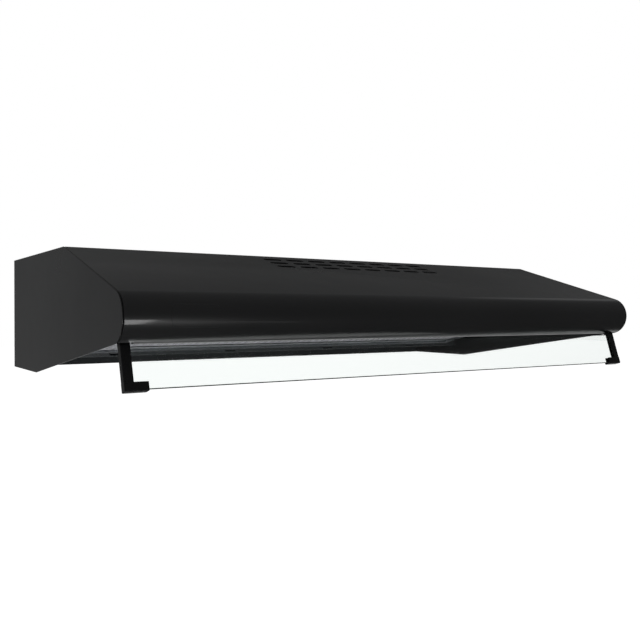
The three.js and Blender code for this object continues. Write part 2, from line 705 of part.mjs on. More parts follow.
function terminalBoxCover() {
  const { left, right, front, rear, low } = BOX;
  const plate = block([left, right], [front, rear], [low - 2, low - GAP]);
  const lip = block([left + 2.4, right - 2.4], [front + 2.4, rear - 2.4], [low - 1, low + 3]);
  const hollow = block([left + 4, right - 4], [front + 4, rear - 4], [low - GAP, low + 5]);
  return join(plate, cut(lip, hollow));
}

function cableGland() {
  const profile = [[5, -22], [9.8, -22], [9.8, -20.3], [8, -20.3], [8, -3.5], [11, -3.5], [11, -1.4]];
  profile.push([8, -1.4], [8, -0.2], [5, -0.2], [5, -22]);
  const gland = turned(profile, 24).rotateX(-Math.PI / 2);
  return gland.translate(ENTRY.x, 0, ENTRY.z);
}

function capacitor() {
  const { x, y, z, radius, long } = CAPACITOR;
  const profile = [[0, 0], [radius - 1, 0], [radius, 1.5], [radius, long], [radius - 2, long + 2]];
  profile.push([5, long + 2], [5, long + 6], [0, long + 6]);
  return turned(profile, 24).rotateY(Math.PI / 2).translate(x, y, z);
}

function capacitorClip() {
  const { x, y, z, radius } = CAPACITOR;
  const [left, right] = [x + 18, x + 34];
  const outside = block([left, right], [y - 17, y + 17], [z - 17, HEIGHT - SHEET - GAP]);
  const room = sideways(radius + GAP, [left - THROUGH, right + THROUGH], y, z, 24);
  const mouth = block([left - THROUGH, right + THROUGH], [y - 11, y + 11], [z - 23, z - 6]);
  return cut(outside, room, mouth);
}

function leadGrommet() {
  const profile = [[3, -2.6], [8, -2.6], [8, -1], [5.6, -1], [5.6, 3.2], [8, 3.2], [8, 4.8]];
  profile.push([3, 4.8], [3, -2.6]);
  const grommet = turned(profile, 16).rotateY(Math.PI / 2);
  const turn = (180 - SCROLL.tongue) / (360 - SCROLL.tongue);
  const wall = BLOWER.x - SCROLL.start - (SCROLL.end - SCROLL.start) * turn;
  return grommet.translate(wall, BLOWER.y, LEAD.z);
}

function motorLead() {
  const route = [[BOX.right - 6, LEAD.y], [-148, LEAD.y], [-132, -56], [-118, -78], [-104, -89]];
  route.push([-92, BLOWER.y], [-80, BLOWER.y], [-65, BLOWER.y], [BLOWER.x - MOTOR.radius - 1, BLOWER.y]);
  const level = route.map(([x, y]) => [x, y, LEAD.z]);
  return lead(level, LEAD.radius, 24);
}

function lampLead() {
  const route = [[BOX.left + 6, LEAD.y, LEAD.z], [-272, LEAD.y, LEAD.z], [-292, -60, 134], [-300, -90, 128]];
  route.push([-300, -160, 122], [-300, -260, 118], [-300, -330, 113], [-300, -370, 108.5]);
  route.push([-300, -388, 107], [-300, -394, 98], [-300, -395, 84]);
  return lead(route, LEAD.radius, 36);
}

// ---------------------------------------------------------------- assembly

const hood = new THREE.Group();
hood.position.set(0, 0, -HEIGHT / 2);

piece(hood, 'canopy_shell', canopyShell(), BLACK_PAINT);
piece(hood, 'rear_panel', rearPanel(), DARK_STEEL);
piece(hood, 'floor_panel', floorPanel(), DARK_STEEL);
piece(hood, 'outlet_blanking_cap', outletBlank(), BLACK_PLASTIC);
piece(hood, 'blank_badge', blankBadge(), BLACK_PAINT);
piece(hood, 'front_housing', frontHousing(), DARK_STEEL);
piece(hood, 'speed_slider_knob', sliderKnob(SPEED), BLACK_PLASTIC);
piece(hood, 'speed_switch', switchBody(SPEED), GREY_PLASTIC);
piece(hood, 'light_slider_knob', sliderKnob(LIGHT), BLACK_PLASTIC);
piece(hood, 'light_switch', switchBody(LIGHT), GREY_PLASTIC);

for (const [name, side] of Object.entries(SIDES)) {
  piece(hood, `side_panel_${name}`, sidePanel(side), BLACK_PAINT);
  piece(hood, `lamp_lens_${name}`, lampLens(side), FROSTED);
  piece(hood, `lamp_bulb_${name}`, lampBulb(side), CLEAR_GLASS);
  piece(hood, `lamp_holder_${name}`, lampHolder(side), WHITE_PLASTIC);
  piece(hood, `filter_catch_${name}`, filterCatch(side), BLACK_PLASTIC);
  piece(hood, `visor_hinge_plate_${name}`, hingePlate(side), BLACK_PLASTIC);
  piece(hood, `visor_pivot_pin_${name}`, pivotPin(side), ZINC);
}

const filterPlane = new THREE.Group();
filterPlane.position.set(0, FILTER.y, FILTER.z);
filterPlane.rotation.x = -rad(FILTER.tilt);
hood.add(filterPlane);
piece(filterPlane, 'filter_frame', filterFrame(), ALUMINIUM);
piece(filterPlane, 'filter_mesh', filterMesh(), ALUMINIUM);
for (const [name, side] of Object.entries(SIDES)) {
  piece(filterPlane, `filter_side_rail_${name}`, sideRail(side), DARK_STEEL);
  piece(filterPlane, `filter_latch_${name}`, filterLatch(side), BLACK_PLASTIC);
}

const visor = new THREE.Group();
visor.position.set(0, VISOR.y, VISOR.z);
visor.rotation.x = -rad(VISOR.lean);
hood.add(visor);
piece(visor, 'visor_glass', visorGlass(), CLEAR_GLASS);
for (const [name, side] of Object.entries(SIDES)) {
  piece(visor, `visor_arm_${name}`, visorArm(side), BLACK_PLASTIC);
  piece(visor, `visor_clamp_screw_${name}`, clampScrew(side), ZINC);
}

piece(hood, 'air_duct', airDuct(), ZINC);
piece(hood, 'blower_scroll', blowerScroll(), GREY_PLASTIC);
piece(hood, 'blower_top_plate', blowerTopPlate(), ZINC);
piece(hood, 'blower_inlet_guard', inletGuard(), BLACK_PLASTIC);
piece(hood, 'motor_body', motorBody(), MOTOR_STEEL);
piece(hood, 'motor_shaft', motorShaft(), ZINC);
piece(hood, 'impeller', impeller(), GREY_PLASTIC);
piece(hood, 'charcoal_filter', charcoalFilter(), CARBON);
blowerScrewPlaces().forEach((place, i) => {
  piece(hood, `blower_screw_${i + 1}`, blowerScrew(place), ZINC);
});

piece(hood, 'terminal_box', terminalBox(), BLACK_PLASTIC);
piece(hood, 'terminal_box_cover', terminalBoxCover(), BLACK_PLASTIC);
piece(hood, 'cable_gland', cableGland(), BLACK_PLASTIC);
piece(hood, 'motor_capacitor', capacitor(), WHITE_PLASTIC);
piece(hood, 'capacitor_clip', capacitorClip(), ZINC);
piece(hood, 'lead_grommet', leadGrommet(), RUBBER);
piece(hood, 'motor_lead', motorLead(), RUBBER);
piece(hood, 'lamp_lead', lampLead(), RUBBER);

export default hood;
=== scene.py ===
# %% [markdown]
# # An under cabinet range hood
#
# The hood is a shallow steel box with a sloped front, a rolled nose and a glass visor that swings
# down on two black arms. The frame file already holds every part at its real size. This lesson
# dresses it: it remakes the curved sheets finely, weaves the grease filter, and paints everything.

# %% The frame
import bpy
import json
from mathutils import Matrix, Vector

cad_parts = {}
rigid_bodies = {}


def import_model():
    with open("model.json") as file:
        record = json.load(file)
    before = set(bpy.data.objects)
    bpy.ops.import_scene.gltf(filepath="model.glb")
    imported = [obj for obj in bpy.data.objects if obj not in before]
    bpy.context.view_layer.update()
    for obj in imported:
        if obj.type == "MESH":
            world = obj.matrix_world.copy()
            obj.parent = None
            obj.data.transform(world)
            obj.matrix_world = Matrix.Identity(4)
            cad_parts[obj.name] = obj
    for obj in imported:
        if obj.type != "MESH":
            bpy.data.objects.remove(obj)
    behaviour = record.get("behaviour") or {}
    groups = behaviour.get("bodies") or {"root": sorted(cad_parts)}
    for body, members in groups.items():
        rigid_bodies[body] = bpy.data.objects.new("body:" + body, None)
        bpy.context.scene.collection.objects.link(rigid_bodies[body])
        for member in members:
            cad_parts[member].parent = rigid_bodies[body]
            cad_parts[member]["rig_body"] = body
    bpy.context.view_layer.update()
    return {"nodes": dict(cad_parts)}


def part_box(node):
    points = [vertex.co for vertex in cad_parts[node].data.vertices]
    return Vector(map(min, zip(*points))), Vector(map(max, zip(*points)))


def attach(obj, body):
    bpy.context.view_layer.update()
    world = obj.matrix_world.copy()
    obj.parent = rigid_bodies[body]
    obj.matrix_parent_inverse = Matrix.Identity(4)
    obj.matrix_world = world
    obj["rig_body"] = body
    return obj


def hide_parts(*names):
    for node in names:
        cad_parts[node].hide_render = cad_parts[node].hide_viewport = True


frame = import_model()

# %% Libraries
import json
import math
import bmesh
import bpy
from mathutils import Matrix, Vector

# %% [markdown]
# ## Sizes
#
# Millimetres are easier to read than metres on sheet metal, so `mm` turns them into Blender's
# units. The main sizes come from the frame's own boxes. Only the bend radii and the slot pattern
# are stated here, because a box cannot tell them.

# %% Sizes taken from the frame
def mm(value):
    return value * 0.001

hood_low, hood_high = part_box("side_panel_right")
shell_low, shell_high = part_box("canopy_shell")
TOP, BOTTOM = hood_high.z, hood_low.z
HALF_WIDTH = hood_high.x
NOSE_RADIUS = mm(26.2)
NOSE_Y = hood_low.y + NOSE_RADIUS
NOSE_Z = BOTTOM + mm(73)
BREAK_Y = mm(-268.5)
REAR_LEVEL_Y = mm(-133.5)
SHEET = mm(1)
to_break = Vector((BREAK_Y - NOSE_Y, TOP - NOSE_Z))
SLOPE = math.atan2(to_break.y, to_break.x) - math.asin(NOSE_RADIUS / to_break.length)
to_level = Vector((REAR_LEVEL_Y - NOSE_Y, BOTTOM - NOSE_Z))
EDGE = math.atan2(to_level.y, to_level.x) + math.asin(NOSE_RADIUS / to_level.length)
print("slope", round(math.degrees(SLOPE), 1), "degrees; lower edge", round(math.degrees(EDGE), 1))

# %% [markdown]
# ## Camera, floor and light
#
# The camera stands low and to the left of the hood, a little over a metre away, so the long
# front runs off to the right. The floor only shows to the camera. What the black enamel mirrors
# is the world, so the world is painted like a studio: dim all round, with a few soft patches of
# light where a photographer would put a softbox or a reflector. A real room has one light for
# everything. Here mirrored, scattered and straight rays each meet their own, which is a studio
# trick and not how light behaves, so the paint should be judged again under any other light.

# %% Camera
CAMERA_PLACE = Vector((mm(-605.6), mm(-1139.7), mm(-1.2)))
CAMERA_TURN = math.radians(33.5)
CAMERA_DIP = math.radians(0.43)
SENSOR, LENS = 36.0, 41.82
camera_data = bpy.data.cameras.new("studio_camera")
camera_data.sensor_width = SENSOR
camera_data.lens = LENS
camera = bpy.data.objects.new("studio_camera", camera_data)
bpy.context.scene.collection.objects.link(camera)
camera.location = CAMERA_PLACE
camera.rotation_euler = (math.pi / 2 - CAMERA_DIP, 0, -CAMERA_TURN)
bpy.context.scene.camera = camera
bpy.context.scene.view_settings.view_transform = "Standard"
print("camera at", [round(c, 3) for c in camera.location])

# %% Floor
FLOOR_Z = BOTTOM - 0.55
FLOOR_SIZE, FLOOR_TONE, FLOOR_GLOW = 14, 0.8, 0.74
floor_mesh = bmesh.new()
bmesh.ops.create_grid(floor_mesh, x_segments=1, y_segments=1, size=FLOOR_SIZE)
bmesh.ops.translate(floor_mesh, verts=floor_mesh.verts, vec=(0, 0, FLOOR_Z))
floor_data = bpy.data.meshes.new("studio_floor")
floor_mesh.to_mesh(floor_data)
floor_mesh.free()
floor = bpy.data.objects.new("studio_floor", floor_data)
bpy.context.scene.collection.objects.link(floor)
floor.visible_glossy = False
floor.visible_diffuse = False
pale = bpy.data.materials.new("pale_floor")
pale.use_nodes = True
pale_shader = pale.node_tree.nodes["Principled BSDF"]
pale_shader.inputs["Base Color"].default_value = (FLOOR_TONE, FLOOR_TONE, FLOOR_TONE, 1)
pale_shader.inputs["Roughness"].default_value = 0.9
pale_shader.inputs["Emission Color"].default_value = (1, 1, 1, 1)
pale_shader.inputs["Emission Strength"].default_value = FLOOR_GLOW
# From below the floor is clear, so the hood can also be looked at from underneath.
side_seen = pale.node_tree.nodes.new("ShaderNodeNewGeometry")
clear = pale.node_tree.nodes.new("ShaderNodeBsdfTransparent")
one_sided = pale.node_tree.nodes.new("ShaderNodeMixShader")
# Nor does it show in the enamel through the pane, where it would draw a white band under the lip.
floor_path = pale.node_tree.nodes.new("ShaderNodeLightPath")
unseen = pale.node_tree.nodes.new("ShaderNodeMath")
unseen.operation = "ADD"
unseen.use_clamp = True
pale.node_tree.links.new(side_seen.outputs["Backfacing"], unseen.inputs[0])
pale.node_tree.links.new(floor_path.outputs["Glossy Depth"], unseen.inputs[1])
pale.node_tree.links.new(unseen.outputs[0], one_sided.inputs["Fac"])
pale.node_tree.links.new(pale_shader.outputs[0], one_sided.inputs[1])
pale.node_tree.links.new(clear.outputs[0], one_sided.inputs[2])
pale.node_tree.links.new(one_sided.outputs[0], pale.node_tree.nodes["Material Output"].inputs["Surface"])
floor_data.materials.append(pale)

# %% The studio world
def facing(tree, axis, start, full):
    """From 0 to 1 as a direction turns towards an axis; start and full are cosines."""
    nodes, links = tree.nodes, tree.links
    place = nodes.new("ShaderNodeTexCoord")
    dot = nodes.new("ShaderNodeVectorMath")
    dot.operation = "DOT_PRODUCT"
    dot.inputs[1].default_value = Vector(axis).normalized()
    links.new(place.outputs["Generated"], dot.inputs[0])
    fade = nodes.new("ShaderNodeMapRange")
    fade.interpolation_type = "SMOOTHSTEP"
    fade.inputs["From Min"].default_value = start
    fade.inputs["From Max"].default_value = full
    links.new(dot.outputs["Value"], fade.inputs["Value"])
    return fade.outputs["Result"]

def combine(tree, operation, first, second):
    joined_up = tree.nodes.new("ShaderNodeMath")
    joined_up.operation = operation
    for socket, value in zip(joined_up.inputs, (first, second)):
        if isinstance(value, float):
            socket.default_value = value
        else:
            tree.links.new(value, socket)
    return joined_up.outputs["Value"]

studio = bpy.data.worlds.new("studio")
studio.use_nodes = True
bpy.context.scene.world = studio
tree = studio.node_tree
DARK_ROOM, SIDE_WALL, REAR_FLOOR, FAR_WINDOW, FILL = 0.045, 0.045, 0.46, 0.13, 0.4
PLAIN_WHITE = 1.0
TO_WALL, DOWN, DOWN_AND_LEFT = (0, 1, 0), (0, 0, -1), (-0.37, 0, -1)
SIDE_WALL_WAY, FAR_WINDOW_WAY = (-0.45, 0.89, 0), (0.8, 0.38, 0.46)
rear_floor = combine(tree, "MULTIPLY", facing(tree, TO_WALL, 0.1, 0.3), facing(tree, DOWN, 0.08, 0.22))
# It fades out well before straight down, which keeps the bright band under the nose narrow.
rear_floor = combine(tree, "MULTIPLY", rear_floor, facing(tree, DOWN_AND_LEFT, 0.37, 0.19))
mirrored = combine(tree, "MULTIPLY_ADD", rear_floor, REAR_FLOOR)
mirrored.node.inputs[2].default_value = DARK_ROOM
side_wall = combine(tree, "MULTIPLY", facing(tree, SIDE_WALL_WAY, 0.5, 0.93), SIDE_WALL)
mirrored = combine(tree, "ADD", mirrored, side_wall)
far_window = combine(tree, "MULTIPLY", facing(tree, FAR_WINDOW_WAY, 0.981, 0.997), FAR_WINDOW)
mirrored = combine(tree, "ADD", mirrored, far_window)
path = tree.nodes.new("ShaderNodeLightPath")
world_output = tree.nodes["World Output"]

def world_layer(strength, below, factor):
    """Shows a plain light of this strength instead of the layers below where factor is 1."""
    plain = tree.nodes.new("ShaderNodeBackground")
    plain.inputs["Color"].default_value = (1, 1, 1, 1)
    plain.inputs["Strength"].default_value = strength
    layer = tree.nodes.new("ShaderNodeMixShader")
    tree.links.new(factor, layer.inputs["Fac"])
    tree.links.new(below, layer.inputs[1])
    tree.links.new(plain.outputs[0], layer.inputs[2])
    return layer.outputs[0]

mirror_light = tree.nodes["Background"]
mirror_light.inputs["Color"].default_value = (0.985, 0.995, 1, 1)
tree.links.new(mirrored, mirror_light.inputs["Strength"])
scattered = combine(tree, "GREATER_THAN", path.outputs["Diffuse Depth"], 0.5)
turned_back = combine(tree, "ADD", path.outputs["Diffuse Depth"], path.outputs["Glossy Depth"])
straight_on = combine(tree, "LESS_THAN", turned_back, 0.5)
layers_of_light = world_layer(FILL, mirror_light.outputs[0], scattered)
layers_of_light = world_layer(PLAIN_WHITE, layers_of_light, straight_on)
tree.links.new(layers_of_light, world_output.inputs["Surface"])
print("world: a dark room, a side wall, a far window and a bright floor towards the wall")

# %% Lamps
def softbox(name, place, aim, width, height, power):
    data = bpy.data.lights.new(name, "AREA")
    data.shape = "RECTANGLE"
    data.size, data.size_y, data.energy = width, height, power
    lamp = bpy.data.objects.new(name, data)
    bpy.context.scene.collection.objects.link(lamp)
    lamp.location = place
    lamp.rotation_euler = (Vector(aim) - Vector(place)).to_track_quat("-Z", "Y").to_euler()
    lamp.visible_camera = False
    return lamp

softbox("nose_box", place=(-0.105, -1.2, -0.305), aim=(-0.37, NOSE_Y, NOSE_Z),
        width=0.08, height=0.27, power=0.42)
softbox("nose_strip", place=(0.11, -1.2, -0.32), aim=(-0.28, NOSE_Y, NOSE_Z),
        width=0.34, height=0.03, power=0.02)
# These two light the matt surfaces underneath and leave no streak in the enamel.
under_fill = softbox("under_fill", place=(0.1, -0.15, -0.6), aim=(0.0, -0.3, 0.0),
                     width=0.9, height=0.3, power=0.5)
under_left = softbox("under_left", place=(-0.55, -0.5, -0.42), aim=(0.0, -0.3, -0.02),
                     width=0.3, height=0.3, power=1.6)
for under in (under_fill, under_left):
    under.visible_glossy = False

# %% [markdown]
# ## Helpers for finishes
#
# Every finish starts from the Principled shader. Real paint, plate and plastic are never even, so
# each finish also gets a slow cloud that moves its roughness and colour a little, and a fine grain
# that lifts the surface. Both are worked out from Object coordinates, so they stay on the part
# when it moves.

# %% Finish helpers
def new_finish(name, colour, roughness, metallic=0.0, **sockets):
    material = bpy.data.materials.new(name)
    material.use_nodes = True
    shader = material.node_tree.nodes["Principled BSDF"]
    shader.inputs["Base Color"].default_value = (*colour, 1)
    shader.inputs["Roughness"].default_value = roughness
    shader.inputs["Metallic"].default_value = metallic
    for socket, value in sockets.items():
        shader.inputs[socket.replace("_", " ")].default_value = value
    return material

def cloud(material, scale, stretch=(1, 1, 1), detail=3.0):
    """A noise pattern on the part's own coordinates, from 0 to 1."""
    nodes, links = material.node_tree.nodes, material.node_tree.links
    place = nodes.new("ShaderNodeTexCoord")
    spread = nodes.new("ShaderNodeMapping")
    spread.inputs["Scale"].default_value = stretch
    noise = nodes.new("ShaderNodeTexNoise")
    noise.inputs["Scale"].default_value = scale
    noise.inputs["Detail"].default_value = detail
    links.new(place.outputs["Object"], spread.inputs["Vector"])
    links.new(spread.outputs["Vector"], noise.inputs["Vector"])
    return noise.outputs["Fac"]

def between(material, pattern, low, high):
    """A pattern turned into a number from low to high."""
    nodes, links = material.node_tree.nodes, material.node_tree.links
    fit = nodes.new("ShaderNodeMapRange")
    fit.inputs["From Min"].default_value = 0.3
    fit.inputs["From Max"].default_value = 0.7
    fit.inputs["To Min"].default_value = low
    fit.inputs["To Max"].default_value = high
    links.new(pattern, fit.inputs["Value"])
    return fit.outputs["Result"]

def vary_roughness(material, pattern, low, high):
    shader = material.node_tree.nodes["Principled BSDF"]
    material.node_tree.links.new(between(material, pattern, low, high), shader.inputs["Roughness"])

def vary_colour(material, pattern, first, second):
    nodes, links = material.node_tree.nodes, material.node_tree.links
    mix = nodes.new("ShaderNodeMix")
    mix.data_type = "RGBA"
    mix.inputs["A"].default_value = (*first, 1)
    mix.inputs["B"].default_value = (*second, 1)
    links.new(between(material, pattern, 0, 1), mix.inputs["Factor"])
    links.new(mix.outputs["Result"], nodes["Principled BSDF"].inputs["Base Color"])

def lift(material, pattern, height, strength=1.0):
    """Raises the surface by a pattern; height is in metres."""
    nodes, links = material.node_tree.nodes, material.node_tree.links
    relief = nodes.new("ShaderNodeBump")
    relief.inputs["Distance"].default_value = height
    relief.inputs["Strength"].default_value = strength
    links.new(pattern, relief.inputs["Height"])
    links.new(relief.outputs["Normal"], nodes["Principled BSDF"].inputs["Normal"])

def painted_edge_highlight(material, colour, width, amount):
    """Mixes a lighter colour in where the surface turns sharply: a painted highlight along the edges."""
    nodes, links = material.node_tree.nodes, material.node_tree.links
    shader = nodes["Principled BSDF"]
    edge = nodes.new("ShaderNodeBevel")
    edge.samples = 4
    edge.inputs["Radius"].default_value = width
    flat = nodes.new("ShaderNodeNewGeometry")
    turn = nodes.new("ShaderNodeVectorMath")
    turn.operation = "DOT_PRODUCT"
    links.new(edge.outputs["Normal"], turn.inputs[0])
    links.new(flat.outputs["Normal"], turn.inputs[1])
    fade = nodes.new("ShaderNodeMapRange")
    fade.inputs["From Min"].default_value = 1.0
    fade.inputs["From Max"].default_value = 0.75
    fade.inputs["To Max"].default_value = amount
    links.new(turn.outputs["Value"], fade.inputs["Value"])
    mix = nodes.new("ShaderNodeMix")
    mix.data_type = "RGBA"
    source = shader.inputs["Base Color"].links
    if source:
        links.new(source[0].from_socket, mix.inputs["A"])
    else:
        mix.inputs["A"].default_value = shader.inputs["Base Color"].default_value
    mix.inputs["B"].default_value = (*colour, 1)
    links.new(fade.outputs["Result"], mix.inputs["Factor"])
    links.new(mix.outputs["Result"], shader.inputs["Base Color"])

print("finish helpers ready")

# %% [markdown]
# ## The finishes
#
# The body is black stove enamel: almost black, hard and glossy, with the faint orange peel that
# sprayed paint keeps. It gets a clear coat over a slightly duller base, which is how the real
# finish is built. The inside is thinner grey-black paint on steel. The filter is bare rolled
# aluminium, the blower parts are zinc plate with its crystal spangle, and the small parts are
# moulded plastic with a fine spark texture.

# %% Enamel and painted steel
enamel = new_finish("black_enamel", (0.011, 0.0112, 0.0118), 0.3, Coat_Weight=0.6, Coat_Roughness=0.09)
vary_roughness(enamel, cloud(enamel, 7), 0.27, 0.36)
vary_colour(enamel, cloud(enamel, 4), (0.0098, 0.01, 0.0105), (0.0125, 0.0127, 0.0132))
lift(enamel, cloud(enamel, 420, detail=1.0), 0.00001, 0.35)

inner_paint = new_finish("inner_grey_paint", (0.018, 0.021, 0.023), 0.5)
vary_roughness(inner_paint, cloud(inner_paint, 12), 0.42, 0.6)
vary_colour(inner_paint, cloud(inner_paint, 6), (0.015, 0.018, 0.02), (0.021, 0.024, 0.026))
lift(inner_paint, cloud(inner_paint, 500, detail=1.0), 0.00002, 0.4)
# A paler grey painted along the sharp edges of the inner paint: a painted edge highlight.
painted_edge_highlight(inner_paint, (0.16, 0.16, 0.165), 0.0008, 0.5)

glossy_paint = new_finish("glossy_inner_paint", (0.045, 0.05, 0.053), 0.25)
vary_roughness(glossy_paint, cloud(glossy_paint, 12), 0.2, 0.32)
vary_colour(glossy_paint, cloud(glossy_paint, 6), (0.04, 0.045, 0.048), (0.052, 0.057, 0.06))
lift(glossy_paint, cloud(glossy_paint, 450, detail=1.0), 0.00001, 0.4)

# %% Bare metals
zinc = new_finish("zinc_plate", (0.5, 0.51, 0.52), 0.4, 0.95)
spangle_place = zinc.node_tree.nodes.new("ShaderNodeTexCoord")
spangle = zinc.node_tree.nodes.new("ShaderNodeTexVoronoi")
spangle.inputs["Scale"].default_value = 130
zinc.node_tree.links.new(spangle_place.outputs["Object"], spangle.inputs["Vector"])
spangle_tone = zinc.node_tree.nodes.new("ShaderNodeSeparateColor")
zinc.node_tree.links.new(spangle.outputs["Color"], spangle_tone.inputs["Color"])
vary_roughness(zinc, spangle_tone.outputs["Red"], 0.37, 0.44)
vary_colour(zinc, spangle_tone.outputs["Red"], (0.46, 0.47, 0.48), (0.53, 0.54, 0.55))
lift(zinc, cloud(zinc, 60), 0.00005, 0.3)

aluminium = new_finish("filter_aluminium", (0.62, 0.645, 0.67), 0.42, 0.9)
vary_roughness(aluminium, cloud(aluminium, 30, (0.2, 1, 1)), 0.34, 0.5)
vary_colour(aluminium, cloud(aluminium, 14), (0.56, 0.585, 0.61), (0.68, 0.705, 0.73))
lift(aluminium, cloud(aluminium, 900, (0.04, 1, 1)), 0.00003, 0.5)

mesh_metal = new_finish("mesh_aluminium", (0.7, 0.71, 0.74), 0.5, 0.3)
vary_roughness(mesh_metal, cloud(mesh_metal, 30, (0.2, 1, 1)), 0.42, 0.58)
vary_colour(mesh_metal, cloud(mesh_metal, 14), (0.64, 0.65, 0.68), (0.76, 0.77, 0.8))
lift(mesh_metal, cloud(mesh_metal, 900, (0.04, 1, 1)), 0.00003, 0.5)

motor_paint = new_finish("motor_steel", (0.2, 0.21, 0.22), 0.45, 0.8)
vary_roughness(motor_paint, cloud(motor_paint, 25), 0.36, 0.55)
vary_colour(motor_paint, cloud(motor_paint, 40), (0.17, 0.18, 0.19), (0.24, 0.25, 0.26))
lift(motor_paint, cloud(motor_paint, 500), 0.00003, 0.4)

# %% Plastics and rubber
def moulded(name, colour, roughness, spark=650):
    """Injection-moulded plastic: a fine spark texture, and a tone that drifts slightly."""
    material = new_finish(name, colour, roughness)
    darker = [c * 0.88 for c in colour]
    lighter = [c * 1.12 for c in colour]
    vary_roughness(material, cloud(material, 30), roughness - 0.05, roughness + 0.07)
    vary_colour(material, cloud(material, 12), darker, lighter)
    lift(material, cloud(material, spark, detail=2.0), 0.00004, 0.5)
    return material

black_plastic = moulded("black_plastic", (0.008, 0.008, 0.0085), 0.38)
arm_plastic = moulded("arm_plastic", (0.0045, 0.0045, 0.005), 0.24)
grey_plastic = moulded("grey_plastic", (0.14, 0.145, 0.15), 0.5)
white_plastic = moulded("white_plastic", (0.72, 0.71, 0.67), 0.42)
rubber = moulded("lead_rubber", (0.012, 0.012, 0.013), 0.62, 300)
carbon = moulded("carbon_pad", (0.02, 0.02, 0.021), 0.8, 220)

# %% Glass
visor_finish = new_finish("visor_glass", (0.95, 0.982, 0.968), 0.02, Transmission_Weight=1.0, IOR=1.5)
vary_roughness(visor_finish, cloud(visor_finish, 9), 0.01, 0.035)
lift(visor_finish, cloud(visor_finish, 5), 0.00002, 0.2)
ground_edge = new_finish("ground_glass_edge", (0.035, 0.042, 0.039), 0.8, Specular_IOR_Level=0.03)
vary_roughness(ground_edge, cloud(ground_edge, 60), 0.72, 0.9)
vary_colour(ground_edge, cloud(ground_edge, 25), (0.03, 0.036, 0.033), (0.042, 0.05, 0.046))
lift(ground_edge, cloud(ground_edge, 700), 0.00004, 0.5)
bulb_finish = new_finish("lamp_glass", (0.93, 0.94, 0.93), 0.04, Transmission_Weight=1.0, IOR=1.47)
vary_roughness(bulb_finish, cloud(bulb_finish, 40), 0.02, 0.08)
lift(bulb_finish, cloud(bulb_finish, 60), 0.00002, 0.2)
diffuser = new_finish("lamp_diffuser", (0.86, 0.86, 0.83), 0.35, Transmission_Weight=0.35, IOR=1.49)
vary_roughness(diffuser, cloud(diffuser, 20), 0.28, 0.42)
vary_colour(diffuser, cloud(diffuser, 15), (0.83, 0.83, 0.8), (0.88, 0.88, 0.86))
lift(diffuser, cloud(diffuser, 500), 0.00003, 0.5)
print("finishes:", len([m for m in bpy.data.materials if m.use_nodes]))

# %% [markdown]
# ## Helpers for pieces
#
# `finish_piece` turns a bmesh into an object, shades it, gives it its finish, and tells the frame
# which body it rides on and which plain solid it stands for. `rounded_copy` starts from the
# frame's own solid: it merges the loose triangles, dissolves the flat ones into whole faces and
# then bevels every sharp edge, because no pressed or moulded edge is knife sharp, and it is the
# rounded edge that catches the light. `carved` runs a boolean between two shapes.

# %% Piece helpers
MERGE = 0.00001

def finish_piece(name, shape, material, node, sharp=35):
    """Makes the object for a bmesh. It rides on, and stands for, the frame's `node`."""
    data = bpy.data.meshes.new(name)
    shape.to_mesh(data)
    shape.free()
    data.materials.append(material)
    for face in data.polygons:
        face.use_smooth = True
        face.material_index = 0
    data.set_sharp_from_angle(angle=math.radians(sharp))
    made = bpy.data.objects.new(name, data)
    bpy.context.scene.collection.objects.link(made)
    even = made.modifiers.new("even_shading", "WEIGHTED_NORMAL")
    even.keep_sharp = True
    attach(made, frame["nodes"][node]["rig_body"])
    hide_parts(node)
    return made

def round_edges(shape, width, segments=2, above=30):
    """Bevels the edges that turn by more than `above` degrees."""
    turning = [e for e in shape.edges if e.is_manifold and e.calc_face_angle(0) > math.radians(above)]
    bmesh.ops.bevel(shape, geom=turning, offset=width, offset_type="OFFSET", segments=segments,
                    profile=0.5, affect="EDGES", material=-1, clamp_overlap=False)
    return shape

def merged_copy(node):
    shape = bmesh.new()
    shape.from_mesh(frame["nodes"][node].data)
    bmesh.ops.remove_doubles(shape, verts=shape.verts, dist=MERGE)
    bmesh.ops.dissolve_limit(shape, angle_limit=math.radians(0.4), verts=shape.verts, edges=shape.edges)
    return shape

def rounded_copy(node, width=mm(0.25), segments=2, above=30):
    return round_edges(merged_copy(node), width, segments, above)

def as_object(name, shape):
    data = bpy.data.meshes.new(name)
    shape.to_mesh(data)
    shape.free()
    made = bpy.data.objects.new(name, data)
    bpy.context.scene.collection.objects.link(made)
    return made

def carved(shape, tool, operation="DIFFERENCE"):
    """The shape with the tool taken away, or what the two share. Both bmeshes are used up."""
    body, cutter = as_object("carving_body", shape), as_object("carving_tool", tool)
    step = body.modifiers.new("carve", "BOOLEAN")
    step.operation, step.object, step.solver = operation, cutter, "EXACT"
    bpy.context.view_layer.update()
    result = bmesh.new()
    result.from_object(body, bpy.context.evaluated_depsgraph_get())
    for made in (body, cutter):
        data = made.data
        bpy.data.objects.remove(made)
        bpy.data.meshes.remove(data)
    bmesh.ops.remove_doubles(result, verts=result.verts, dist=MERGE)
    return result

def box_shape(low, high, shape=None):
    """A box between two corners, added to a shape if one is given."""
    shape = shape or bmesh.new()
    low, high = Vector(low), Vector(high)
    made = bmesh.ops.create_cube(shape, size=1)["verts"]
    bmesh.ops.scale(shape, verts=made, vec=high - low)
    bmesh.ops.translate(shape, verts=made, vec=(low + high) / 2)
    return shape

def extrude_face(shape, face, vector):
    """Pulls a flat face out into a solid, with its faces pointing outwards."""
    pulled = bmesh.ops.extrude_face_region(shape, geom=[face])["geom"]
    moved = [v for v in pulled if isinstance(v, bmesh.types.BMVert)]
    bmesh.ops.translate(shape, verts=moved, vec=vector)
    bmesh.ops.recalc_face_normals(shape, faces=shape.faces)
    return shape
print("piece helpers ready")

